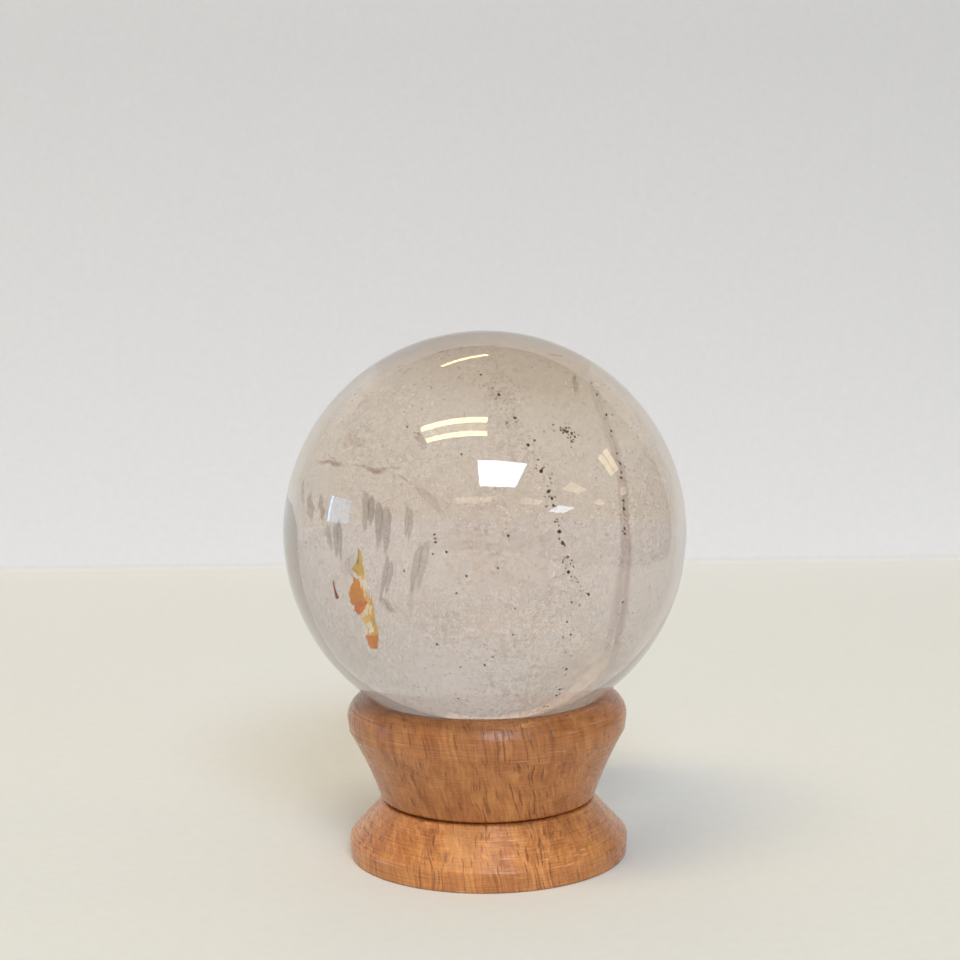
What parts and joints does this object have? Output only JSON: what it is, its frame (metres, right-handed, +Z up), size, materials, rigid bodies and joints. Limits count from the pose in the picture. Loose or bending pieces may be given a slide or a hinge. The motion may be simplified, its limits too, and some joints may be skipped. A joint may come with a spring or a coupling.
{
  "type": "quartz sphere",
  "caption": "Polished clear quartz sphere with natural flaws inside, resting in the dished rim of a waisted turned wooden stand.",
  "frame": {"origin": "centre of the stand's underside, where it meets the table", "axes": "+Z up along the common axis of stand and sphere; -Y is the front, from which the iron-stained flaw shows low on the left"},
  "size_m": [0.0724, 0.0724, 0.0951],
  "materials": {
    "quartz": "polished, faintly smoky and hazy",
    "wood": "turned, satin lacquer",
    "iron_stain": "iron-stained flaw inside the quartz",
    "dark_grains": "dark mineral grains inside the quartz",
    "veil": "pale veils and healed cracks inside the quartz"
  },
  "bodies": {
    "root": {"quartz_sphere": "quartz", "wooden_stand": "wood"}
  },
  "joints": []
}
